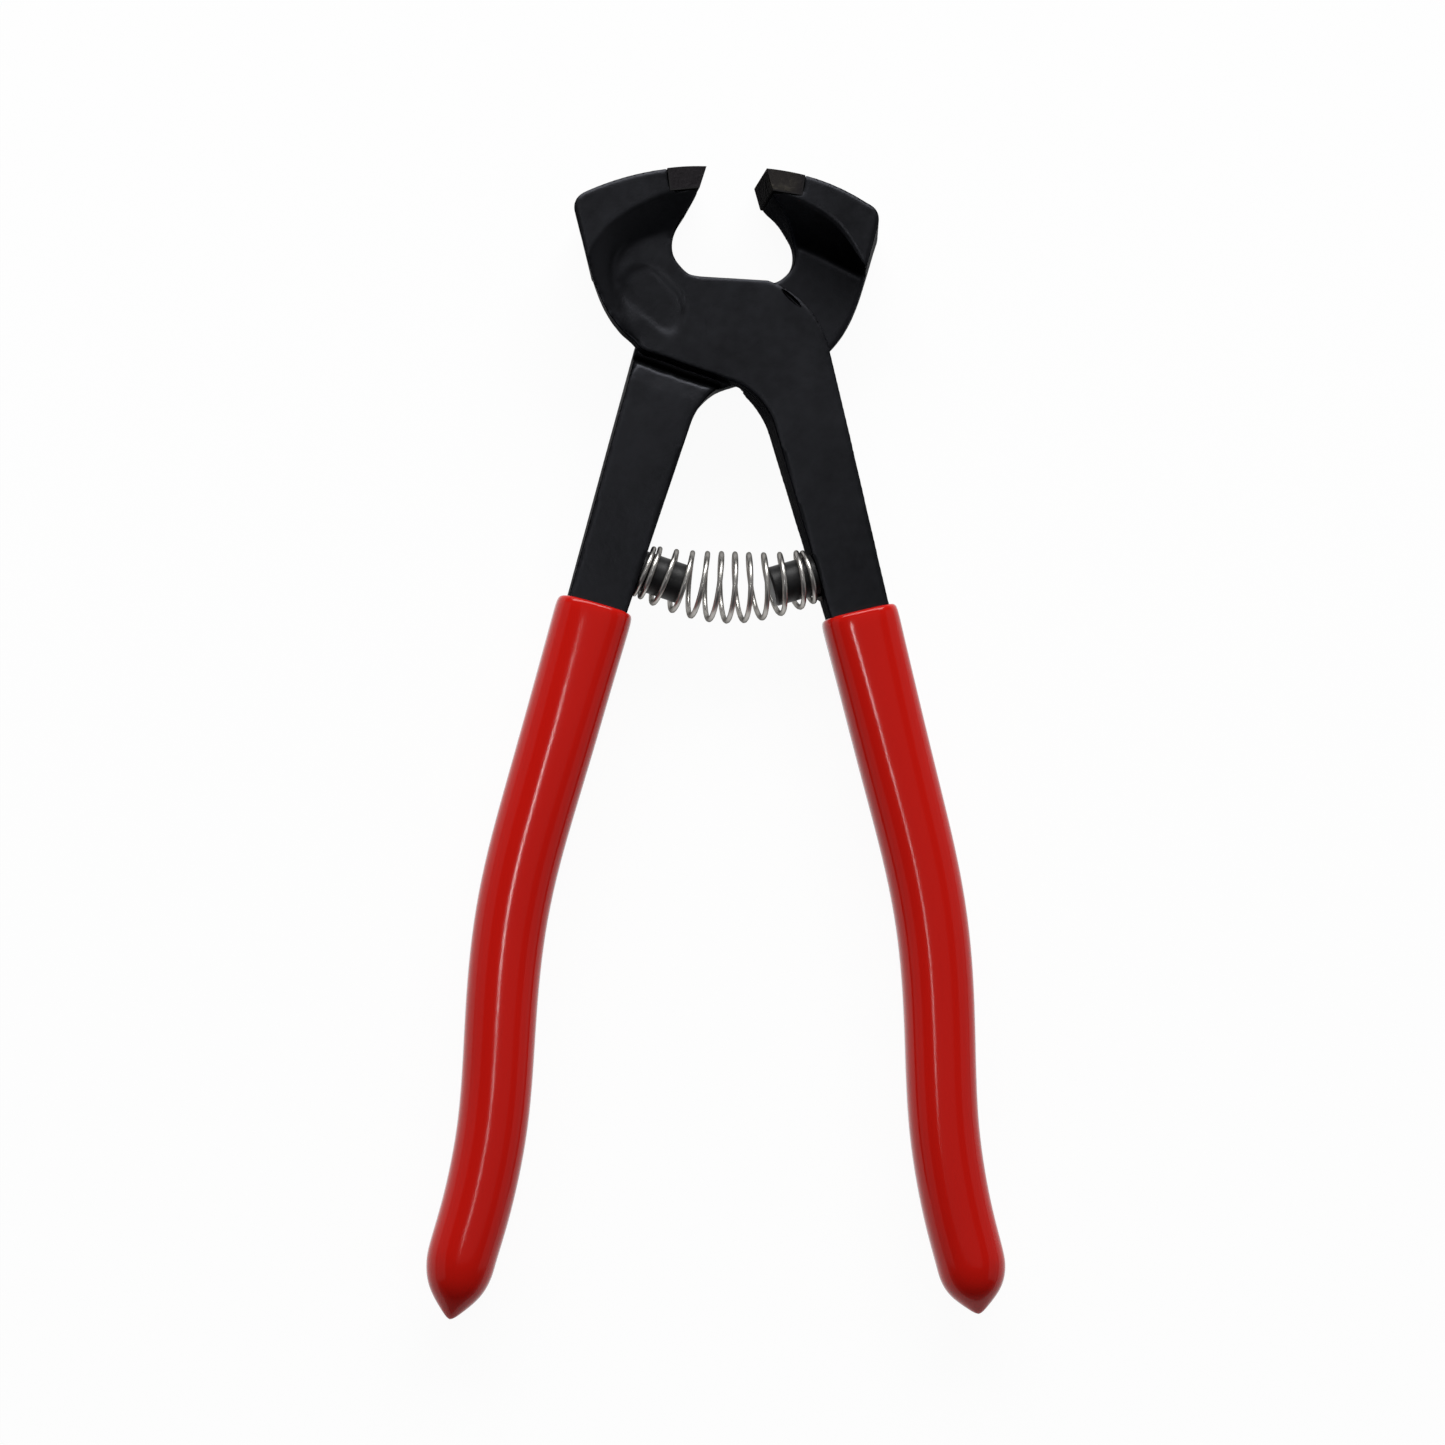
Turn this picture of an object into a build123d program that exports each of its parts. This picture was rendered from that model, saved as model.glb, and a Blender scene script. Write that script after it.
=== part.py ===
from build123d import *
import os
from math import atan2, cos, pi, radians, sin

# Tile nippers: two identical forged arms cross in a lap joint on a flush rivet.
#
# Each arm carries a brazed tungsten carbide jaw insert, a spring post and a dipped grip.
# A barrel-shaped return spring pushes the handles apart.
#
# Frame: the tool lies flat, +X to the right, +Y towards the jaws, +Z up. The origin is on
# the rivet's axis, in the back face of the joint. The front arm has the left jaw, the
# right handle and the upper plate of the joint. The rear arm is the same arm turned half
# a turn about the tool's long axis. Everything is drawn open, as the spring holds it.

os.makedirs("parts", exist_ok=True)

# ------------------------------------------------------------ joint and rivet
plate_thickness = 5.45      # each arm's plate in the lap joint
lap_gap = 0.1               # between the two plates
rivet_radius = 4.0
rivet_head_radius = 5.2     # flush countersunk head, both sides
rivet_clearance = 0.03      # radial, in both arms
groove = 1.0                # between one arm's plate edge and the other's shoulder

joint_thickness = 2 * plate_thickness + lap_gap
lap_z = joint_thickness / 2
plate_z = lap_z + lap_gap / 2          # underside of the front arm's plate

# ------------------------------------------------------------ jaws
jaw_width = 20.0            # along the rivet's axis
jaw_top_z = lap_z + jaw_width / 2
jaw_bottom_z = lap_z - jaw_width / 2
# Each jaw is ground to its own shape: the back's reach from the centre line on the upper
# side, the corner's height, the crown's height, and the cutting edge.
jaw_shapes = {"front": (29.55, 21.3, 27.0, (-6.0, 27.9)), "rear": (27.7, 20.9, 26.2, (-4.9, 27.9))}
back_draft = 2.5            # the back leans in by this much from the upper side to the lower
land_height = 3.5           # cutting land, below the edge
land_lean = 1.05
waist = (-18.1, -3.2)       # where the jaw's back meets the plate's lower edge
throat_end = (-6.8, 8.8)    # where the throat meets the plate's upper edge
pocket_depth = 0.4          # shallow forged pocket on the plate

# ------------------------------------------------------------ carbide insert
insert_length = 6.8         # back from the cutting edge
insert_depth = 3.5
insert_slope = 7.5          # degrees that the jaw's top falls away from the edge
braze_thickness = 0.25

# ------------------------------------------------------------ tang and handle
plate_corner = (6.1, 8.4)   # upper edge of the plate, far end
tang_outer_top = (17.2, -3.4)
tang_inner_top = (7.6, -18.0)
taper_start = -18.0         # the tang gets thinner from here ...
grip_top = -50.8            # ... to here, where the grip starts
core_thickness = 8.2
tang_taper = (joint_thickness - core_thickness) / 2
core_foot = -180.0          # past the end of the core
handle_points = [(23.85, grip_top), (30.5, -76.0), (36.9, -100.0), (39.5, -122.0),
                 (40.3, -142.0), (43.0, -158.0), (45.6, -167.0)]
core_width_top = 10.7
core_width_end = 9.1
core_corner_radius = 2.7
core_profile = [(1.6, 0.88), (2.8, 0.55)]      # distance past the handle's end, share of width
handle_stations = 11        # sections along the handle
tang_end = 0.03             # share of the handle where the square tang becomes the core

# ------------------------------------------------------------ grip
grip_wall = 1.7
grip_lip_radius = 0.7
drip_point = (47.6, -178.6) # end of the nipple left by dipping
# Past the core: distance along the bulb and share of the grip's width there.
bulb_profile = [(3.0, 0.98), (5.6, 0.86), (7.8, 0.66), (9.4, 0.46), (10.7, 0.26), (11.7, 0.09)]
bulb_lengths = {"front": 0.83, "rear": 1.0}    # the right handle's dip ends a little sooner

# ------------------------------------------------------------ spring and posts
spring_arc_radius = 46.9    # the spring's axis bends about the rivet
post_radius = 3.6
post_length = 8.4
post_chamfer = 0.4
spigot_radius = 1.9
spigot_length = 5.0
spigot_clearance = 0.02
spigot_end_gap = 0.2
wire_radius = 0.47
coil_radius_end = 4.5
coil_radius_middle = 6.3
turns = 12
dead_turns = 1.5            # close turns at each end
dead_pitch = 1.15
pitch_swing = -0.1          # the middle turns lie closer together by this share
spring_seat_gap = 0.35      # end coil's middle to tang
points_per_turn = 8

# The rear arm is the front arm turned half a turn about this axis.
flip_axis = Axis((0, 0, lap_z), (0, 1, 0))


def boundary_cutter(low_boundary, low_z, high_boundary, high_z, corners):
    """Return a solid between two levels, bounded by a curve that differs at each level."""
    with BuildPart() as cutter:
        for boundary, z, far in ((low_boundary, low_z, corners[0]),
                                 (high_boundary, high_z, corners[1])):
            with BuildSketch(Plane.XY.offset(z)):
                with BuildLine():
                    edge = Spline(*boundary)
                    Polyline(edge @ 1, *far, edge @ 0)
                make_face()
        loft(ruled=True)
    return cutter.part


# ============================================================ outlines
# Centre line of the handle, from the grip's top to the end of the steel core.
handle_line = Spline(*handle_points)
end_direction = (Vector(*drip_point) - Vector(*handle_points[-1])).normalized()


def handle_width(t):
    """Return the steel's width at a share t of the handle's length."""
    return core_width_top + (core_width_end - core_width_top) * t


def handle_corner(side, t):
    """Return the handle's edge point at t; side is 1 outside and -1 inside."""
    centre, along, half = handle_line @ t, handle_line % t, handle_width(t) / 2
    return (centre.X - side * along.Y * half, centre.Y + side * along.X * half)


def handle_sections(start, grow, profile):
    """Return the handle's sections from start to its end, and on past it, grown by a wall."""
    thickness = core_thickness + 2 * grow
    sections, stations = [], []
    for step in range(handle_stations):
        t = start + (1 - start) * step / (handle_stations - 1)
        stations.append((handle_line @ t, handle_line % t, handle_width(t) + 2 * grow, thickness))
    for distance, share in profile:
        width = (core_width_end + 2 * grow) * share
        stations.append((handle_line @ 1 + end_direction * distance, end_direction, width,
                         min(width, thickness * share ** 0.8)))
    for centre, direction, width, thickness in stations:
        section = Plane(origin=(centre.X, centre.Y, lap_z), x_dir=(0, 0, 1),
                        z_dir=(direction.X, direction.Y, 0))
        with BuildSketch(section) as sketch:
            RectangleRounded(thickness, width, min(core_corner_radius + grow, 0.48 * min(width, thickness)))
        sections.append(sketch.sketch)
    return sections


def jaw_outline(reach, corner, crown, tip):
    """Return the plan of a left jaw: back, corner, top, cutting land and throat."""
    bow = reach - 26.2
    with BuildSketch() as plan:
        with BuildLine():
            back = Spline(waist, (-20.6 - 0.62 * bow, 0.6), (-23.8 - 0.92 * bow, 9.3),
                          (-reach, corner - 2.6))
            shoulder = Spline(back @ 1, (0.2 - reach, corner), (2.3 - reach, corner + 1.6),
                              tangents=[back % 1, (1, 0.45)])
            ThreePointArc(shoulder @ 1, (-14.8, crown), tip)
            land = Line(tip, (tip[0] - land_lean, tip[1] - land_height))
            Spline(land @ 1, (-8.4, 21.3), (-10.2, 18.3), (-11.4, 15.3), (-11.3, 12.6), (-9.4, 9.9),
                   throat_end, tangents=[land % 1, (1, -0.05)])
            Polyline(throat_end, (-7.0, 0.0), (-13.0, -4.0), waist)
        make_face()
    return plan.sketch


def drafted(shape, level):
    """Return the jaw's shape at a level below its upper side."""
    return (shape[0] - back_draft * (jaw_top_z - level) / jaw_width, *shape[1:])


with BuildSketch() as shank_plan:
    with BuildLine():
        Line(throat_end, plate_corner)
        ThreePointArc(plate_corner, (12.6, 4.4), tang_outer_top)
        Line(tang_outer_top, handle_corner(1, tang_end))
        Line(handle_corner(1, tang_end), handle_corner(-1, tang_end))
        inner = Line(handle_corner(-1, tang_end), tang_inner_top)
        Spline(tang_inner_top, (5.2, -13.7), (2.6, -11.3), (-1.0, -9.8), (-8.4, -7.5),
               (-14.8, -5.5), waist, tangents=[inner % 1, (-0.6, 0.8)])
        Line(waist, throat_end)
    make_face()

# The seat polygon of the insert, grown by the braze where asked.
along_top = Vector(-cos(radians(insert_slope)), -sin(radians(insert_slope)))
down_seat = Vector(sin(radians(insert_slope)), -cos(radians(insert_slope)))


def seat_polygon(tip, grow):
    """Return the corners of the insert's seat, open past the cutting edge and the top."""
    edge = Vector(*tip)
    length, depth, over = insert_length + grow, insert_depth + grow, 4.0
    corners = [edge - along_top * over + down_seat * depth, edge + along_top * length + down_seat * depth,
               edge + along_top * length - down_seat * over, edge - along_top * over - down_seat * over]
    return [(corner.X, corner.Y) for corner in corners]


# ============================================================ spring posts
# The post stands square on the tang's inner edge, where the spring's arc meets it.
inner_direction = (inner @ 0 - inner @ 1).normalized()
inner_foot = (inner @ 1).dot(inner_direction)
inner_reach = (spring_arc_radius ** 2 - (inner @ 1).length ** 2 + inner_foot ** 2) ** 0.5 - inner_foot
seat = inner @ 1 + inner_direction * inner_reach
post_angle = atan2(seat.X, -seat.Y)
post_plane = Plane(origin=(seat.X, seat.Y, lap_z), x_dir=(0, 0, 1),
                   z_dir=(inner_direction.Y, -inner_direction.X, 0))

# ============================================================ the forged arm
# Recess under the plate: the other arm's plate lies in it. Its far ends are the ramps at
# the jaw and at the tang's shoulder.
shoulder_line = [(21.5, -3.5), (15.5, -5.4), (8.4, -7.7), (0.0, -10.1), (-4.0, -11.4)]
shoulder_run = 2.7          # how far the shoulder leans over half the jaw's width
ease_height = 1.5           # its upper end is eased into the tang's face
ease_run = 4.2
recess_left = -30.0
recess = boundary_cutter(
    [(-29.0, 8.6), (-24.1, 10.6), (-18.5, 13.0), (-12.0, 15.7), (-4.0, 19.0)], plate_z,
    [(-29.0, 7.0), (-22.6, 11.2), (-18.3, 17.6), (-11.0, 22.5), (-3.0, 26.6)], jaw_bottom_z,
    [[(14.0, top)] + [(x, y - groove - run) for x, y in shoulder_line]
     + [(recess_left, shoulder_line[-1][1] - groove - run)]
     for top, run in ((19.0, 0), (26.6, shoulder_run))])

# The shoulder's upper end is eased, so the tang's face starts in a gentle ramp.
ease_start = groove + shoulder_run * (plate_z - ease_height) / (jaw_width / 2)
ease = boundary_cutter(
    [(x, y - ease_start) for x, y in shoulder_line], ease_height,
    [(x, y - ease_start - 2 * ease_run) for x, y in shoulder_line], -ease_height,
    [[(-12.0, -13.0), (-12.0, 0.0), (22.0, 0.0)], [(-12.0, -19.0), (-12.0, 0.0), (22.0, 0.0)]])

# Scoop over the plate: it lowers the jaw's upper side to the plate's face.
scoop = boundary_cutter(
    [(-16.6, -4.5), (-19.1, 1.6), (-21.7, 6.8), (-21.4, 11.9), (-16.5, 15.4), (-8.0, 17.6)],
    joint_thickness,
    [(-30.5, -4.5), (-31.0, 1.6), (-28.4, 8.6), (-24.2, 15.4), (-15.4, 21.8), (-4.0, 26.0)],
    jaw_top_z,
    [[(2.0, 17.6), (2.0, -4.5)], [(2.0, 26.0), (2.0, -4.5)]])


def forged_arm(shape):
    """Return one arm: jaw, plate, tang and handle core, with its recess, scoop and holes."""
    with BuildPart() as arm:
        with BuildSketch(Plane.XY):
            add(shank_plan.sketch)
        extrude(amount=joint_thickness)
        loft([Plane.XY.offset(level) * jaw_outline(*drafted(shape, level))
              for level in (jaw_bottom_z, jaw_top_z)], ruled=True)
        # The tang thins towards the grip on both sides.
        with BuildSketch(Plane.YZ):
            for z, inward in ((joint_thickness, -1), (0, 1)):
                with BuildLine():
                    Polyline((taper_start, z), (grip_top, z + inward * tang_taper),
                             (core_foot, z + inward * tang_taper), (core_foot, z - inward),
                             (taper_start, z - inward), close=True)
                make_face()
        extrude(amount=60, both=True, mode=Mode.SUBTRACT)
        loft(handle_sections(tang_end, 0, core_profile), ruled=True)
        for cutter in (recess, ease, scoop):
            add(cutter, mode=Mode.SUBTRACT)
        # Forged pocket on the plate.
        with BuildSketch(Plane.XY.offset(joint_thickness)):
            with BuildLine():
                Spline((-20.2, 8.0), (-16.4, 10.4), (-12.2, 7.6), (-9.2, 2.6), (-11.3, -1.8),
                       (-16.2, 0.8), periodic=True)
            make_face()
        extrude(amount=-pocket_depth, mode=Mode.SUBTRACT)
        # Seat of the insert with its braze.
        with BuildSketch(Plane.XY.offset(jaw_bottom_z)):
            Polygon(*seat_polygon(shape[-1], braze_thickness), align=None)
        extrude(amount=jaw_width, mode=Mode.SUBTRACT)
        # Rivet hole, countersunk on the outer face.
        with Locations((0, 0, joint_thickness)):
            CounterSinkHole(radius=rivet_radius + rivet_clearance,
                            counter_sink_radius=rivet_head_radius + rivet_clearance,
                            depth=joint_thickness, counter_sink_angle=90)
        # Hole for the spring post's spigot.
        with Locations(post_plane):
            Hole(radius=spigot_radius + spigot_clearance, depth=spigot_length + spigot_end_gap)
    return arm.part


def jaw_insert(shape):
    """Return the hard insert that fills the corner of a jaw."""
    with BuildPart() as insert:
        with BuildSketch(Plane.XY.offset(jaw_bottom_z)):
            add(jaw_outline(*drafted(shape, lap_z)))
            Polygon(*seat_polygon(shape[-1], 0), align=None, mode=Mode.INTERSECT)
        extrude(amount=jaw_width)
    return insert.part


def insert_braze(shape):
    """Return the braze between an insert and the two faces of its seat."""
    with BuildPart() as braze:
        with BuildSketch(Plane.XY.offset(jaw_bottom_z)):
            add(jaw_outline(*drafted(shape, lap_z)))
            Polygon(*seat_polygon(shape[-1], braze_thickness), align=None, mode=Mode.INTERSECT)
            Polygon(*seat_polygon(shape[-1], 0), align=None, mode=Mode.SUBTRACT)
        extrude(amount=jaw_width)
    return braze.part


# A rear piece is made as a front one, then turned over.
pieces = {}
for side, shape in jaw_shapes.items():
    for kind, make in (("arm", forged_arm), ("jaw_tip", jaw_insert), ("tip_braze", insert_braze)):
        piece = make(shape)
        pieces[f"{side}_{kind}"] = piece if side == "front" else piece.rotate(flip_axis, 180)

with BuildPart() as front_spring_post:
    with Locations(post_plane):
        Cylinder(post_radius, post_length, align=(Align.CENTER, Align.CENTER, Align.MIN))
    chamfer(front_spring_post.edges().filter_by(GeomType.CIRCLE)
            .sort_by(Axis(post_plane.origin, post_plane.z_dir))[-1], post_chamfer)
    with Locations(post_plane):
        Cylinder(spigot_radius, spigot_length, align=(Align.CENTER, Align.CENTER, Align.MAX))

with BuildPart() as pivot_rivet:
    Cylinder(rivet_radius, joint_thickness, align=(Align.CENTER, Align.CENTER, Align.MIN))
    head = rivet_head_radius - rivet_radius
    with Locations((0, 0, joint_thickness - head)):
        Cone(rivet_radius, rivet_head_radius, head, align=(Align.CENTER, Align.CENTER, Align.MIN))
    Cone(rivet_head_radius, rivet_radius, head, align=(Align.CENTER, Align.CENTER, Align.MIN))

# ============================================================ grip
def dipped_grip(bulb_length):
    """Return a dipped sleeve: the handle grown by the wall, less the steel inside it."""
    profile = [(distance * bulb_length, share) for distance, share in bulb_profile]
    with BuildPart() as grip:
        loft(handle_sections(0, grip_wall, profile), ruled=True)
        fillet(grip.faces().sort_by(Axis.Y)[-1].edges(), grip_lip_radius)
        add(pieces["front_arm"], mode=Mode.SUBTRACT)
    return grip.part


# ============================================================ return spring
# The wire winds round an arc about the rivet, from one tang to the other.
arc_length = 2 * post_angle * spring_arc_radius
winding_length = arc_length - 2 * wire_radius - 2 * spring_seat_gap
live_turns = turns - 2 * dead_turns
live_length = winding_length - 2 * dead_turns * dead_pitch


def winding_position(turn):
    """Return how far along the axis the wire is after so many turns."""
    if turn < dead_turns:
        return dead_pitch * turn
    if turn > turns - dead_turns:
        return winding_length - dead_pitch * (turns - turn)
    share = (turn - dead_turns) / live_turns
    return dead_pitch * dead_turns + live_length * (share - pitch_swing * sin(2 * pi * share) / (2 * pi))


def winding_point(step):
    """Return one point of the wire's centre line."""
    turn = step / points_per_turn
    along = winding_position(turn) + wire_radius + spring_seat_gap
    angle = along / spring_arc_radius - post_angle
    coil = coil_radius_end + (coil_radius_middle - coil_radius_end) * sin(pi * turn / turns)
    reach = spring_arc_radius + coil * cos(2 * pi * turn)
    return (reach * sin(angle), -reach * cos(angle), lap_z + coil * sin(2 * pi * turn))


winding = Spline(*[winding_point(step) for step in range(turns * points_per_turn + 1)])
with BuildPart() as return_spring:
    with BuildSketch(Plane(origin=winding @ 0, z_dir=winding % 0)):
        Circle(wire_radius)
    sweep(path=winding, is_frenet=True)

# ============================================================ written pieces
pieces["pivot_rivet"] = pivot_rivet.part
pieces["return_spring"] = return_spring.part
pieces["front_spring_post"] = front_spring_post.part
pieces["front_grip"] = dipped_grip(bulb_lengths["front"])
pieces["rear_spring_post"] = front_spring_post.part.rotate(flip_axis, 180)
pieces["rear_grip"] = dipped_grip(bulb_lengths["rear"]).rotate(flip_axis, 180)

for name, piece in pieces.items():
    piece.label = name
    export_step(piece, f"parts/{name}.step")
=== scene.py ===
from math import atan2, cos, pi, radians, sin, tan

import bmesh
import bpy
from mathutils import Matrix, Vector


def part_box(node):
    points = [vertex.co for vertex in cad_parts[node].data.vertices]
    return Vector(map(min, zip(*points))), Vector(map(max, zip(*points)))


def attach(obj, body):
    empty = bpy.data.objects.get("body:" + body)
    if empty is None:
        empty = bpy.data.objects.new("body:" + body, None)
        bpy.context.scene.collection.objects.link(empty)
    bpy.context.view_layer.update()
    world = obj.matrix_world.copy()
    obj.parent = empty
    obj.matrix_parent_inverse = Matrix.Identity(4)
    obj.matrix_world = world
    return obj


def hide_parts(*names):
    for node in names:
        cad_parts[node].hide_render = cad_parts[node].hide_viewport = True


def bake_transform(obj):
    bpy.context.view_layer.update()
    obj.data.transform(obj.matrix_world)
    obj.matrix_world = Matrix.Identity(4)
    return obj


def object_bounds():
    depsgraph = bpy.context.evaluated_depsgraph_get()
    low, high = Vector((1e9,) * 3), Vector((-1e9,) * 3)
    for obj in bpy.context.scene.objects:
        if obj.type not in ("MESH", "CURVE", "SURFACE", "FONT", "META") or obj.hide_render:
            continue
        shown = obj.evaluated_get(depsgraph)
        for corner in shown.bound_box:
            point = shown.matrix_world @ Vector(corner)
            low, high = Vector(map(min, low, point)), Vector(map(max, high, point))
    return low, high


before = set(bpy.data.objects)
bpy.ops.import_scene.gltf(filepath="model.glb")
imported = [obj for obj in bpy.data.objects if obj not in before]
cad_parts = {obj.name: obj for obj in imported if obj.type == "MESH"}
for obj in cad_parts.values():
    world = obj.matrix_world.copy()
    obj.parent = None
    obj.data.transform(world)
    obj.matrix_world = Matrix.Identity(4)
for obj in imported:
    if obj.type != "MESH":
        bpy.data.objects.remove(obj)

# %% [markdown]
# # A pair of tile nippers
# The real tool is two black forged arms that cross in a lap joint, with hard tips brazed
# into wide jaws, a bowed return spring between two pegs, and red dipped grips.
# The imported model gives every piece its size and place. This lesson dresses it: each cell
# says what a piece is, makes it with the tools that a maker would use by hand, and prints
# what it made.

MM = 0.001
for leftover in ("Cube", "Light", "Camera"):
    if leftover in bpy.data.objects:
        bpy.data.objects.remove(bpy.data.objects[leftover])
model_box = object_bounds()
joint_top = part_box("pivot_rivet")[1].z
joint_middle = Vector((0, 0, joint_top / 2))
print("model box in mm:", [[round(value / MM, 1) for value in corner] for corner in model_box])


# %% [markdown]
# ## Hands
# Blender's operators act on whatever is selected, and loading a model leaves all of it
# selected. So three small helpers come first: one that picks a single piece up, one that
# applies a modifier as soon as it has been set, and one that selects points by their place.

# %% Pick up, finish and select
def pick_up(piece):
    """Select one piece alone and make it active."""
    if bpy.context.mode != "OBJECT":
        bpy.ops.object.mode_set(mode="OBJECT")
    bpy.ops.object.select_all(action="DESELECT")
    piece.select_set(True)
    bpy.context.view_layer.objects.active = piece
    return piece


def apply(piece, kind, **settings):
    """Add a modifier, set it and apply it at once."""
    pick_up(piece)
    modifier = piece.modifiers.new(kind.title(), kind)
    for name, value in settings.items():
        setattr(modifier, name, value)
    bpy.ops.object.modifier_apply(modifier=modifier.name)
    return piece


def select_points(piece, wanted):
    """In edit mode, select the points whose place passes a test. Returns how many."""
    bpy.ops.mesh.select_mode(type="VERT")
    bpy.ops.mesh.select_all(action="DESELECT")
    mesh = bmesh.from_edit_mesh(piece.data)
    count = 0
    for point in mesh.verts:
        point.select = wanted(point.co)
        count += point.select
    mesh.select_flush_mode()
    bmesh.update_edit_mesh(piece.data)
    return count


def copy_of(node, name):
    """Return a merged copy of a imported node, free of its parent and of its marks."""
    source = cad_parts[node]
    pick_up(source)
    bpy.ops.object.duplicate()
    piece = bpy.context.active_object
    piece.name = piece.data.name = name
    piece.parent = None
    for mark in list(piece.keys()):
        del piece[mark]
    bpy.ops.object.mode_set(mode="EDIT")
    bpy.ops.mesh.select_all(action="SELECT")
    bpy.ops.mesh.remove_doubles(threshold=1e-6)
    bpy.ops.object.mode_set(mode="OBJECT")
    return piece


# %% [markdown]
# ## The camera
# A flat tool keeps its true outline when it is seen from nearly straight above, through a
# long lens. The camera stands 0.9 m away, a few degrees to the left and a few degrees
# towards the handles, which shows a little of the jaws' inner faces.

# %% Stand the camera over the tool
camera_turn, camera_tip, camera_roll = radians(6.2), radians(4.6), radians(0.85)
camera_distance = 0.9
aim = Vector((-0.56, -71.36, 5.5)) * MM
towards_camera = Matrix.Rotation(camera_roll, 3, "Z") @ Vector((-tan(camera_turn), -tan(camera_tip), 1))
up_hint = Matrix.Rotation(camera_roll, 3, "Z") @ Vector((0, 1, 0))
back = towards_camera.normalized()
right = up_hint.cross(back).normalized()
bpy.ops.object.camera_add(location=aim + back * camera_distance)
camera = bpy.context.active_object
camera.name = "camera"
camera.rotation_euler = Matrix((right, back.cross(right), back)).transposed().to_euler()
camera.data.lens, camera.data.sensor_width = 124.6, 36
bpy.context.scene.camera = camera
print("camera at", [round(value, 3) for value in camera.location])


# %% [markdown]
# ## Shader arithmetic
# A finish is easier to read as arithmetic than as a web of nodes. One small class wraps a
# socket, so that adding or multiplying two of them adds the Math node that does it. One
# method makes every other kind of node from its type, its settings and its inputs.

# %% A socket that does sums, and a finish that holds it
class Level:
    """A socket's value, which can be used in sums."""

    def __init__(self, finish, socket):
        self.finish, self.socket = finish, socket

    def sum(self, operation, first, second):
        return self.finish.node("Math", {"operation": operation}, {0: first, 1: second})

    def __add__(self, other):
        return self.sum("ADD", self, other)

    def __radd__(self, other):
        return self.sum("ADD", other, self)

    def __sub__(self, other):
        return self.sum("SUBTRACT", self, other)

    def __rsub__(self, other):
        return self.sum("SUBTRACT", other, self)

    def __mul__(self, other):
        return self.sum("MULTIPLY", self, other)

    def __rmul__(self, other):
        return self.sum("MULTIPLY", other, self)


class Finish:
    """A material and the nodes that make it."""

    def __init__(self, name):
        self.material = bpy.data.materials.new(name)
        self.material.use_nodes = True
        self.tree = self.material.node_tree
        self.shader = self.tree.nodes["Principled BSDF"]

    def join(self, value, socket):
        if isinstance(value, Level):
            self.tree.links.new(value.socket, socket)
        else:
            socket.default_value = value

    def node(self, kind, settings=None, inputs=None, output=0):
        made = self.tree.nodes.new("ShaderNode" + kind)
        for name, value in (settings or {}).items():
            if name == "stops":
                ramp = made.color_ramp
                ramp.elements[0].position, ramp.elements[-1].position = value[0][0], value[-1][0]
                for place, _ in value[1:-1]:
                    ramp.elements.new(place)
                for element, (_, shade) in zip(ramp.elements, value):
                    element.color = (shade, shade, shade, 1)
            else:
                setattr(made, name, value)
        for name, value in (inputs or {}).items():
            self.join(value, made.inputs[name])
        return Level(self, made.outputs[output])

    def place(self):
        """Where a point of the surface is, in the tool's own frame."""
        return self.node("TexCoord", output="Object")

    def noise(self, scale, detail=2.0, roughness=0.5, stretch=(1, 1, 1)):
        where = self.node("Mapping", {"vector_type": "POINT"}, {"Vector": self.place(), "Scale": stretch})
        return self.node("TexNoise", None, {"Vector": where, "Scale": scale, "Detail": detail,
                                            "Roughness": roughness}, "Fac")

    def stops(self, level, *stops):
        return self.node("ValToRGB", {"stops": stops}, {"Fac": level})

    def blend(self, share, first, second):
        """Mix two colours by a share."""
        made = self.tree.nodes.new("ShaderNodeMix")
        made.data_type = "RGBA"
        for index, value in ((0, share), (6, first), (7, second)):
            self.join(value, made.inputs[index])
        return Level(self, made.outputs[2])

    def bump(self, height, depth, under=None):
        inputs = {"Strength": 1.0, "Distance": depth, "Height": height}
        if under is not None:
            inputs["Normal"] = under
        return self.node("Bump", None, inputs)

    def dress(self, *pieces, **sockets):
        """Set the shader's sockets, put the finish on pieces and say where it went."""
        for name, value in sockets.items():
            self.join(value, self.shader.inputs[name.replace("_", " ")])
        for piece in pieces:
            piece.data.materials.clear()
            piece.data.materials.append(self.material)
        print(self.material.name, "on", [piece.name for piece in pieces])


# %% [markdown]
# ## The table and the light
# The table is plain and nearly white. Seen by the camera or in a reflection it is mostly
# its own white, and the rest is real shading, so the tool keeps a soft shadow on it.
# A dark satin tool shows what stands around it. The main lamp is large and stands beyond
# the jaws, so faces that look back at the handles stay dark, and the round grips, which
# run along its beam, do not mirror it. A dim panel overhead gives the flat faces their even
# grey, a dim lamp at each side lifts the edges, and a short, narrow strip draws the long
# streak on the grips.

# %% Lay the table
table_gap = 0.2 * MM
bpy.ops.mesh.primitive_plane_add(size=6, location=(0, 0, model_box[0][2] - table_gap))
table = bpy.context.active_object
table.name = "table"
white = Finish("white_table")
white.dress(table, Base_Color=(0.88, 0.88, 0.88, 1), Roughness=0.9)
rays = white.tree.nodes.new("ShaderNodeLightPath")
seen = (Level(white, rays.outputs["Is Camera Ray"]) + Level(white, rays.outputs["Is Glossy Ray"])
        + Level(white, rays.outputs["Is Transmission Ray"]))
glow = white.node("Emission", None, {"Color": (1, 1, 1, 1), "Strength": 1.0})
lit = white.node("MixShader", None, {0: seen * 0.95, 1: Level(white, white.shader.outputs[0]), 2: glow})
white.tree.links.new(lit.socket, white.tree.nodes["Material Output"].inputs["Surface"])

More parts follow.
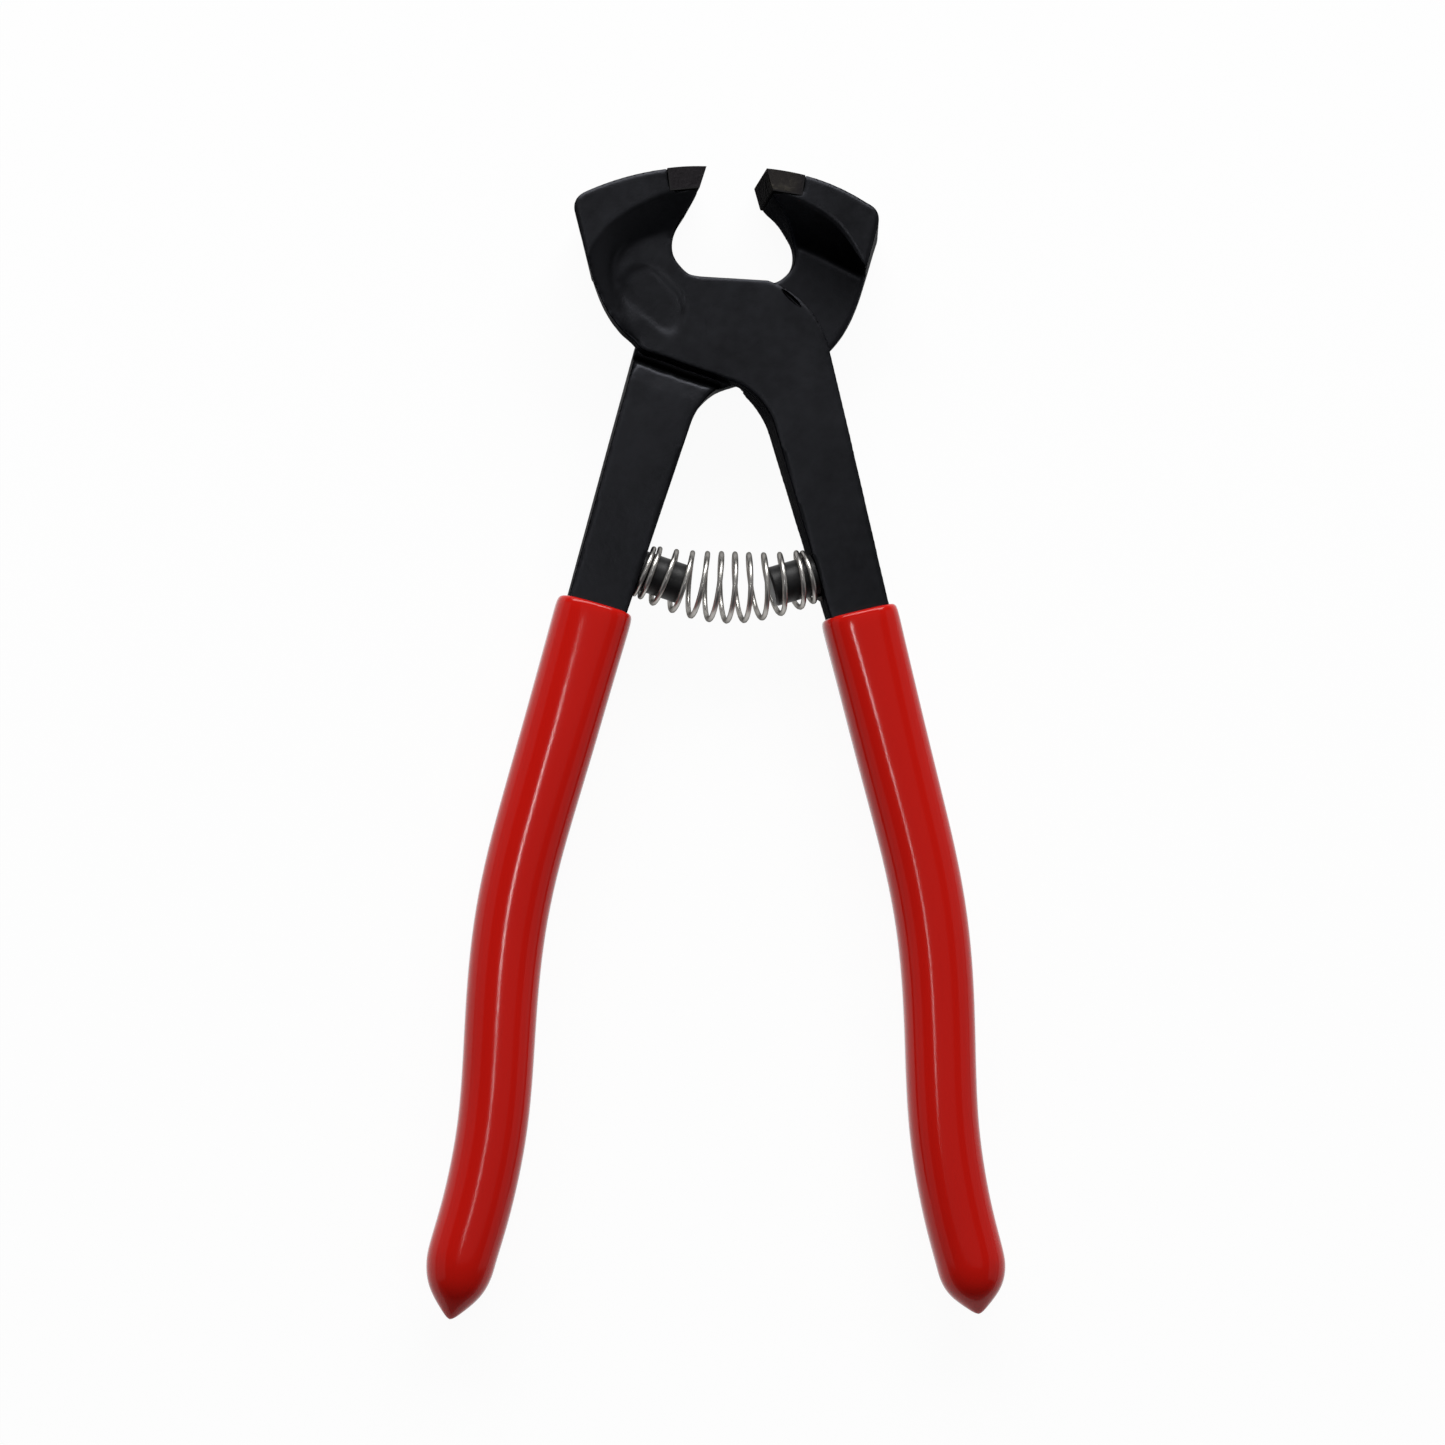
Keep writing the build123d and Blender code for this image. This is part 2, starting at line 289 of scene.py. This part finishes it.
# %% Build the room
room = bpy.data.worlds.new("room")
bpy.context.scene.world = room
room.use_nodes = True
sky = room.node_tree
direction = sky.nodes.new("ShaderNodeTexCoord")
split = sky.nodes.new("ShaderNodeSeparateXYZ")
ramp = sky.nodes.new("ShaderNodeValToRGB")
sky.links.new(direction.outputs["Generated"], split.inputs[0])
sky.links.new(split.outputs["Z"], ramp.inputs["Fac"])
sky.links.new(ramp.outputs["Color"], sky.nodes["Background"].inputs["Color"])
low_sky, high_sky = (0.05, (0.3, 0.3, 0.3, 1)), (0.35, (0.06, 0.06, 0.065, 1))
for stop, (height, grey) in zip(ramp.color_ramp.elements, (low_sky, high_sky)):
    stop.position = height
    stop.color = grey
bpy.context.scene.view_settings.view_transform = "Standard"


def lamp(name, place, size, brightness):
    """A rectangular lamp that faces the tool. Its size is across and along the tool, and
    its brightness is that of its own surface."""
    place = Vector(place)
    facing = (place - aim).normalized()
    along = (Vector((0, 1, 0)) - facing * facing.y).normalized()
    bpy.ops.object.light_add(type="AREA", location=place)
    made = bpy.context.active_object
    made.name = name
    made.data.shape = "RECTANGLE"
    made.data.size, made.data.size_y = size
    made.data.energy = brightness * pi * size[0] * size[1]
    made.rotation_euler = Matrix((along.cross(facing), along, facing)).transposed().to_euler()
    print(name, "brightness", brightness)


lamp("lamp_beyond_jaws", (0.0, 1.15, 0.85), (1.6, 0.6), 9.0)
lamp("lamp_overhead", (0.13, 0.1, 1.2), (0.9, 0.9), 0.22)
lamp("lamp_right", (0.95, -0.05, 0.45), (0.7, 1.1), 0.35)
lamp("lamp_left", (-0.95, -0.05, 0.45), (0.7, 1.1), 0.35)
lamp("lamp_strip", (-0.125, -0.025, 0.8), (0.032, 0.13), 30.0)
lamp("lamp_strip_low", (-0.125, -0.125, 0.8), (0.032, 0.06), 12.0)


# %% [markdown]
# ## The forged arms
# Each arm is a drop forging: one piece of steel that is jaw, joint plate, tang and the
# core of the handle, with soft edges and a coat of black paint. Soft edges all over are
# slow to bevel by hand on such a shape. A voxel remesh turns the sharp copy into an even
# skin, and a few rounds of smoothing then wear every edge down by the same few tenths,
# as paint and tumbling do. The rivet's hole is plugged for that step and cut again
# afterwards, so that the joint's face stays flat up to the rivet's head.

# %% Skin an arm
rivet_radius, head_radius, running_gap = 4.0 * MM, 5.2 * MM, 0.03 * MM
plug_margin, voxel = 0.4 * MM, 0.4 * MM


def rivet_form(name, grow):
    """A rivet with a countersunk head at both ends, spun about its axis."""
    head = head_radius - rivet_radius
    bpy.ops.mesh.primitive_circle_add(vertices=96, radius=head_radius + grow, fill_type="NGON",
                                      location=(0, 0, -grow))
    piece = bpy.context.active_object
    piece.name = piece.data.name = name
    bpy.ops.object.mode_set(mode="EDIT")
    steps = ((0, grow), (1, head), (0, joint_top - 2 * head), (-1, head), (0, grow))
    for taper, rise in steps:
        bpy.ops.mesh.extrude_region_move(TRANSFORM_OT_translate={"value": (0, 0, rise)})
        if taper:
            narrow, wide = rivet_radius + grow, head_radius + grow
            ratio = narrow / wide if taper > 0 else wide / narrow
            bpy.ops.transform.resize(value=(ratio, ratio, 1), center_override=(0, 0, 0))
    bpy.ops.mesh.select_all(action="SELECT")
    bpy.ops.mesh.normals_make_consistent(inside=False)
    bpy.ops.object.mode_set(mode="OBJECT")
    bpy.ops.object.transform_apply(location=True, rotation=True, scale=True)
    return piece


def skin_arm(node, name):
    """A soft-edged copy of a forged arm. The front arm's joint plate is the upper one."""
    piece = copy_of(node, name)
    depth = joint_top / 2 - plug_margin
    height = joint_top - depth / 2 if node == "front_arm" else depth / 2
    bpy.ops.mesh.primitive_cylinder_add(vertices=96, radius=head_radius + plug_margin, depth=depth,
                                        location=(0, 0, height))
    plug = bpy.context.active_object
    piece.select_set(True)
    plug.select_set(True)
    bpy.context.view_layer.objects.active = piece
    bpy.ops.object.join()
    apply(piece, "REMESH", mode="VOXEL", voxel_size=voxel, adaptivity=0.0, use_smooth_shade=True)
    apply(piece, "SMOOTH", factor=0.5, iterations=4)
    print(name, "skin:", len(piece.data.polygons), "faces")
    return piece


def soften(piece, wanted, rounds):
    """Wear one region of a forging down, as the die's wear and the paint do."""
    pick_up(piece)
    bpy.ops.object.mode_set(mode="EDIT")
    count = select_points(piece, wanted)
    bpy.ops.mesh.vertices_smooth(factor=0.5, repeat=rounds)
    bpy.ops.object.mode_set(mode="OBJECT")
    print(piece.name, "softened at", count, "points")


front_forging = skin_arm("front_arm", "front_forging")
rear_forging = skin_arm("rear_arm", "rear_forging")

# %% [markdown]
# ## The worn places
# Inside the jaw a scoop runs out to a foot, beside the rivet lies a shallow pocket, and the
# rear arm climbs a ramp to its joint. On a forging these have no sharp foot. They could be
# sculpted, but selecting each region by its place and smoothing only that region leaves the
# rest of the skin as it is, and comes out the same on every run.

# %% Soften the scoop's foot, the pocket and the shoulder's ramp
scoop_foot = [Vector(point) * MM for point in (
    (-17.6, -1.6), (-19.1, 1.6), (-20.6, 4.2), (-21.7, 6.8), (-21.9, 9.4), (-21.4, 11.9), (-19.2, 13.9),
    (-16.5, 15.4), (-13.5, 16.4), (-10.6, 17.1))]
foot_reach, upper_side = 2.3 * MM, 10.2 * MM
pocket_x, pocket_y = -14.6 * MM, 4.0 * MM
pocket_half_width, pocket_half_length = 7.4, 7.8
ramp_start, ramp_slope, ramp_foot, ramp_share = 10.1 * MM, 0.307, 9.4 * MM, 0.3


def near_scoop_foot(point):
    """Whether a point of the upper side is close to the line that the scoop ends in."""
    return point.z > upper_side and min((point.xy - foot).length for foot in scoop_foot) < foot_reach


def in_pocket(point):
    """Whether a point of the upper side is inside the pocket's ellipse."""
    across = (point.x - pocket_x) / pocket_half_width
    along = (point.y - pocket_y) / pocket_half_length
    return point.z > upper_side and across ** 2 + along ** 2 < MM ** 2


def on_ramp(point):
    """Whether a point is on the rear arm's ramp, which crosses the tang at a slant."""
    below = point.y + ramp_start + ramp_slope * point.x
    return point.z > ramp_foot and -10.0 * MM < below < -1.0 * MM and point.x < 2 * MM


pick_up(rear_forging)
bpy.ops.object.mode_set(mode="EDIT")
select_points(rear_forging, on_ramp)
bpy.ops.transform.resize(value=(1, 1, ramp_share), center_override=(0, 0, joint_top))
soften(rear_forging, on_ramp, 8)
soften(front_forging, near_scoop_foot, 16)
soften(front_forging, in_pocket, 8)

# %% Cut the rivet's hole again
hole_cutter = rivet_form("hole_cutter", running_gap)
for forging in (front_forging, rear_forging):
    apply(forging, "BOOLEAN", operation="DIFFERENCE", solver="EXACT", object=hole_cutter)
    print(forging.name, "after the hole:", len(forging.data.polygons), "faces")
bpy.data.objects.remove(hole_cutter)

# %% [markdown]
# ## The short groove
# One short groove is struck beside the rim of the upper plate. It is too small for the
# skin's voxels, so it is cut last, with a long thin ball that leaves round ends and a round
# foot, as a punch does.

# %% Strike the short groove beside the plate's rim
groove_place, groove_turn = Vector((10.2, 5.3, 11.0)) * MM, radians(-41.7)
bpy.ops.mesh.primitive_uv_sphere_add(segments=48, ring_count=24, radius=MM, scale=(2.4, 0.5, 1.0),
                                     location=groove_place, rotation=(0, 0, groove_turn))
groove_cutter = bpy.context.active_object
apply(front_forging, "BOOLEAN", operation="DIFFERENCE", solver="EXACT", object=groove_cutter)
bpy.data.objects.remove(groove_cutter)
print("front_forging after the groove:", len(front_forging.data.polygons), "faces")

# %% Put the forgings in their arms' places
for forging, arm in ((front_forging, "front_arm"), (rear_forging, "rear_arm")):
    pick_up(forging)
    bpy.ops.object.shade_smooth_by_angle(angle=radians(35))
    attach(forging, arm)
    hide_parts(arm)
    print(forging.name, "rides on", arm)

# %% [markdown]
# ## The dipped grips
# A dipped grip is a skin of soft vinyl that follows the steel inside it. It starts in a
# rounded lip, runs down the handle's curve, swells into a bulb past the steel's end, and
# stops in the little point that the last drop leaves. It is grown as one closed sleeve:
# from the bottom of the hollow up the inside, over the lip, down the outside and to the
# point, one extrusion at a time, and a subdivision surface then rounds it.

# %% Grow a grip
mouth, mouth_width = Vector((23.85, -50.8, 5.5)) * MM, 10.7
# The handle's middle below the mouth: across, along, and the steel's width there.
handle_run = [(25.0, -55.2, 10.6), (27.5, -64.6, 10.4), (30.5, -76.0, 10.3), (33.3, -86.2, 10.1),
              (36.0, -96.4, 9.95), (38.0, -106.5, 9.8), (39.1, -116.5, 9.65), (39.6, -126.0, 9.5),
              (39.9, -135.0, 9.4), (40.5, -144.0, 9.3), (41.8, -152.2, 9.2), (43.5, -160.0, 9.1),
              (45.6, -167.0, 9.1)]
steel_thickness, vinyl_wall = 8.2 * MM, 1.7 * MM
# The lip: distance below the mouth, and share of the vinyl's wall.
lip_run = ((0.0, 0.3), (0.05, 0.75), (0.8, 1.0))
# Past the steel: distance along the bulb, and share of the grip's width.
bulb_run = [(2.4, 0.99), (5.0, 0.9), (7.2, 0.73), (9.0, 0.5), (10.4, 0.29), (11.3, 0.15), (11.9, 0.05)]
drip_point = Vector((47.6, -178.6, 5.5)) * MM


def heading(way):
    """The angle of a direction about the rivet's axis, from straight down the tool."""
    return atan2(way.x, -way.y)


def grip_stations(bulb_length):
    """Middle, direction, width, thickness and fullness of each section, from the hollow's foot
    to the point. The fullness is 2 for an ellipse; near the mouth it is more, because the
    steel inside is square there."""
    middle = [mouth] + [Vector((x, y, 5.5)) * MM for x, y, _ in handle_run]
    steel = [mouth_width * MM] + [width * MM for _, _, width in handle_run]
    end_way = (drip_point - middle[-1]).normalized()
    ways = [(middle[min(i + 1, len(middle) - 1)] - middle[max(i - 1, 0)]).normalized()
            for i in range(len(middle))]
    ways[-1] = (ways[-2] + end_way).normalized()
    full_at = [max(2.6, 3.6 - 0.3 * i) for i in range(len(middle))]
    inside = [(middle[i], ways[i], steel[i], steel_thickness, full_at[i])
              for i in range(len(middle) - 1, -1, -1)]
    over_lip = [(mouth + ways[0] * down * MM, ways[0], steel[0] + 2 * vinyl_wall * share,
                 steel_thickness + 2 * vinyl_wall * share, full_at[0])
                for down, share in lip_run]
    outside = [(middle[i], ways[i], steel[i] + 2 * vinyl_wall, steel_thickness + 2 * vinyl_wall, full_at[i])
               for i in range(1, len(middle))]
    bulb = []
    for distance, share in bulb_run:
        full = (steel[-1] + 2 * vinyl_wall) * share
        thick = (steel_thickness + 2 * vinyl_wall) * share ** 0.8
        centre = middle[-1] + end_way * distance * bulb_length * MM
        bulb.append((centre, end_way, full, min(full, thick), 2.3))
    return inside + over_lip + outside + bulb


def shape_section(piece, centre, way, old, new, fullness):
    """Give the selected ring its new width and thickness, square to the handle's way."""
    mesh = bmesh.from_edit_mesh(piece.data)
    across, up = Matrix.Rotation(heading(way), 3, "Z") @ Vector((1, 0, 0)), Vector((0, 0, 1))
    for point in mesh.verts:
        if point.select:
            out = Matrix.Rotation(heading(way) - old[2], 3, "Z") @ (point.co - centre)
            angle = atan2(out.z / old[1], out.dot(across) / old[0])
            reach = (abs(cos(angle)) ** fullness + abs(sin(angle)) ** fullness) ** (-1 / fullness) / 2
            point.co = centre + across * cos(angle) * reach * new[0] + up * sin(angle) * reach * new[1]
    bmesh.update_edit_mesh(piece.data)


def grow_grip(name, bulb_length):
    """One dipped grip for the right handle, extruded section by section from a disc."""
    stations = grip_stations(bulb_length)
    here = stations[0][0]
    bpy.ops.mesh.primitive_circle_add(vertices=16, radius=0.5, fill_type="NGON", location=here,
                                      rotation=(pi / 2, 0, 0))
    piece = bpy.context.active_object
    piece.name = piece.data.name = name
    bpy.ops.object.transform_apply(location=True, rotation=True, scale=True)
    bpy.ops.object.mode_set(mode="EDIT")
    bpy.ops.mesh.select_all(action="SELECT")
    old = (1, 1, 0)
    for number, (centre, way, width, thickness, fullness) in enumerate(stations):
        if number:
            bpy.ops.mesh.extrude_region_move(TRANSFORM_OT_translate={"value": centre - here})
        shape_section(piece, centre, way, old, (width, thickness), fullness)
        here, old = centre, (width, thickness, heading(way))
    bpy.ops.mesh.merge(type="CENTER")
    bpy.ops.mesh.select_all(action="SELECT")
    bpy.ops.mesh.normals_make_consistent(inside=False)
    bpy.ops.object.mode_set(mode="OBJECT")
    apply(piece, "SUBSURF", levels=2, render_levels=2)
    bpy.ops.object.shade_smooth()
    print(name, "has", len(piece.data.polygons), "faces")
    return piece


front_grip = grow_grip("front_dipped_grip", 0.83)
rear_grip = grow_grip("rear_dipped_grip", 1.0)
bpy.ops.object.mode_set(mode="EDIT")
bpy.ops.mesh.select_all(action="SELECT")
bpy.ops.transform.rotate(value=pi, orient_axis="Y", center_override=joint_middle)
bpy.ops.object.mode_set(mode="OBJECT")
for piece, body, node in ((front_grip, "front_arm", "front_grip"), (rear_grip, "rear_arm", "rear_grip")):
    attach(piece, body)
    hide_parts(node)

# %% [markdown]
# ## The return spring
# The spring is one bright wire wound in a barrel: small close coils at both ends, which
# sit on the pegs, and wide open coils between. It is bowed, because it lies on a circle
# about the rivet. A curve says this best: its points wind round that arc, a bevel gives it
# the wire's thickness, and it becomes a mesh.

# %% Wind the spring
arc_radius, half_angle = 46.9 * MM, radians(20.19)
wire_radius, turns, dead_turns = 0.47 * MM, 12, 1.5
coil_end, coil_middle = 4.5 * MM, 6.3 * MM
dead_pitch = 1.15 * MM / arc_radius
spring_start = half_angle - 0.82 * MM / arc_radius
live_angle = 2 * spring_start - 2 * dead_turns * dead_pitch
points_per_turn = 14


def wire_point(turn):
    """Where the wire's middle is after so many turns from the left end."""
    live = (turn - dead_turns) / (turns - 2 * dead_turns)
    if live <= 0:
        along = turn * dead_pitch
    elif live >= 1:
        along = 2 * spring_start - (turns - turn) * dead_pitch
    else:
        along = dead_turns * dead_pitch + live_angle * (live + 0.1 * sin(2 * pi * live) / (2 * pi))
    angle = along - spring_start
    coil = coil_end + (coil_middle - coil_end) * sin(pi * turn / turns) ** 1.5
    out = arc_radius + coil * cos(2 * pi * turn)
    return Vector((out * sin(angle), -out * cos(angle), joint_middle.z + coil * sin(2 * pi * turn)))


bpy.ops.curve.primitive_nurbs_path_add()
spring = bpy.context.active_object
spring.name = spring.data.name = "wound_return_spring"
spring.location = (0, 0, 0)
spring.data.splines.clear()
wire = spring.data.splines.new("NURBS")
wire.points.add(turns * points_per_turn)
for number, point in enumerate(wire.points):
    point.co = (*wire_point(number / points_per_turn), 1)
wire.order_u = 4
wire.use_endpoint_u = True
wire.resolution_u = 2
spring.data.dimensions = "3D"
spring.data.bevel_mode = "ROUND"
spring.data.bevel_depth = wire_radius
spring.data.bevel_resolution = 4
spring.data.use_fill_caps = True
pick_up(spring)
bpy.ops.object.convert(target="MESH")
spring = bpy.context.active_object
bpy.ops.object.transform_apply(location=True, rotation=True, scale=True)
bpy.ops.object.shade_smooth()
print("spring:", len(spring.data.polygons), "faces")
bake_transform(spring)
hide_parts("return_spring")

# %% [markdown]
# ## The paint
# The arms and the rivet share one coat of satin black with the forging's faint pitting
# under it. Three sizes of noise make it: a wide one for uneven gloss, a middle one for the
# pits and a fine one for the paint's own skin. A dark tinted metal is used in place of a
# plastic, because a plastic mirrors the white table wherever it is seen at a slant.

# %% Black paint
paint = Finish("satin_black_paint")
mottle = paint.noise(70, 3, 0.6)
pits = paint.noise(520, 4, 0.62)
peel = paint.noise(2600, 2, 0.5)
shade = paint.stops(mottle * 0.65 + pits * 0.35, (0.35, 0.0), (0.65, 1.0))
paint.dress(front_forging, rear_forging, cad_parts["pivot_rivet"],
            Base_Color=paint.blend(shade, (0.0195, 0.02, 0.0225, 1), (0.026, 0.0268, 0.0305, 1)),
            Metallic=1.0, Specular_Tint=(0.08, 0.08, 0.085, 1), Roughness=0.36 + 0.14 * shade,
            Normal=paint.bump(peel, 0.01 * MM, paint.bump(pits, 0.06 * MM)))

# %% [markdown]
# ## The pegs
# The spring's pegs are turned steel, blackened and left bare. They are duller and darker
# than the painted arms, so they get their own finish with a fine grain.

# %% Black pegs
peg = Finish("black_oxide_pegs")
turned = peg.noise(900, 2, 0.5)
peg.dress(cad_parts["front_spring_post"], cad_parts["rear_spring_post"],
          Base_Color=peg.blend(turned, (0.006, 0.006, 0.006, 1), (0.012, 0.012, 0.013, 1)),
          Roughness=0.4 + 0.15 * turned, Specular_IOR_Level=0.3, Normal=peg.bump(turned, 0.02 * MM))

# %% [markdown]
# ## The hard tips and their braze
# The tips are ground hard metal, nearly black, and the braze is the dull line that holds
# each in its seat. The grinding shows as a grain drawn out along one axis, which a stretched
# noise gives. One lighter brown, mottled patch is set by its distance from a point, so it stays on its tip.

# %% Hard tips and braze
tip = Finish("ground_hard_metal")
grain = tip.noise(1400, 3, 0.6, (1, 1, 0.15))
blotch = tip.stops(tip.noise(420, 3, 0.6), (0.42, 0.0), (0.62, 1.0))
# A lighter brown, mottled patch lies on the right tip around this place; the left one stays dark.
lighter_brown_patch = tip.node("VectorMath", {"operation": "DISTANCE"},
                {0: tip.place(), 1: Vector((7.0, 25.2, 15.5)) * MM}, "Value")
lighter_brown_patch = tip.stops(lighter_brown_patch * 160, (0.2, 1.0), (0.75, 0.0))
tip.dress(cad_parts["front_jaw_tip"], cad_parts["rear_jaw_tip"],
          Base_Color=tip.blend(lighter_brown_patch * (0.35 + 0.65 * blotch),
                               (0.0235, 0.0215, 0.0235, 1), (0.052, 0.048, 0.04, 1)),
          Metallic=1.0, Specular_Tint=(0.08, 0.08, 0.08, 1), Roughness=0.38 + 0.14 * grain,
          Normal=tip.bump(blotch, 0.04 * MM, tip.bump(grain, 0.02 * MM)))
braze = Finish("dull_braze")
flow = braze.noise(800, 3, 0.6)
braze.dress(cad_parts["front_tip_braze"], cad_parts["rear_tip_braze"],
            Base_Color=braze.blend(flow, (0.019, 0.0185, 0.02, 1), (0.028, 0.027, 0.027, 1)),
            Metallic=1.0, Specular_Tint=(0.1, 0.1, 0.1, 1), Roughness=0.45 + 0.15 * flow,
            Normal=braze.bump(flow, 0.04 * MM))

# %% [markdown]
# ## The vinyl
# Dipped vinyl is glossy and never quite level. A slow noise moves both its colour and its
# surface, so a reflection on it wavers, and a very fine one keeps it from looking like glass.

# %% Red vinyl
vinyl = Finish("red_dipped_vinyl")
waver = vinyl.noise(60, 2, 0.5, (1, 0.4, 1))
skin = vinyl.noise(1500, 2, 0.5)
vinyl.dress(front_grip, rear_grip,
            Base_Color=vinyl.blend(waver, (0.5, 0.0065, 0.003, 1), (0.55, 0.0085, 0.0045, 1)),
            Roughness=0.1 + 0.05 * waver, IOR=1.32,
            Normal=vinyl.bump(skin, 0.003 * MM, vinyl.bump(waver, 0.12 * MM)))

# %% [markdown]
# ## The wire
# Bright wire carries the fine lines of its drawing. A fine noise in colour and roughness is
# enough at this size, where the lines themselves would be too thin to see.

# %% Spring wire
steel = Finish("bright_drawn_wire")
drawn = steel.noise(2200, 3, 0.6)
steel.dress(spring, Base_Color=steel.blend(drawn, (0.42, 0.407, 0.385, 1), (0.55, 0.535, 0.51, 1)),
            Metallic=1.0, Specular_Tint=(0.12, 0.12, 0.12, 1), Roughness=0.3 + 0.08 * drawn,
            Normal=steel.bump(drawn, 0.01 * MM))
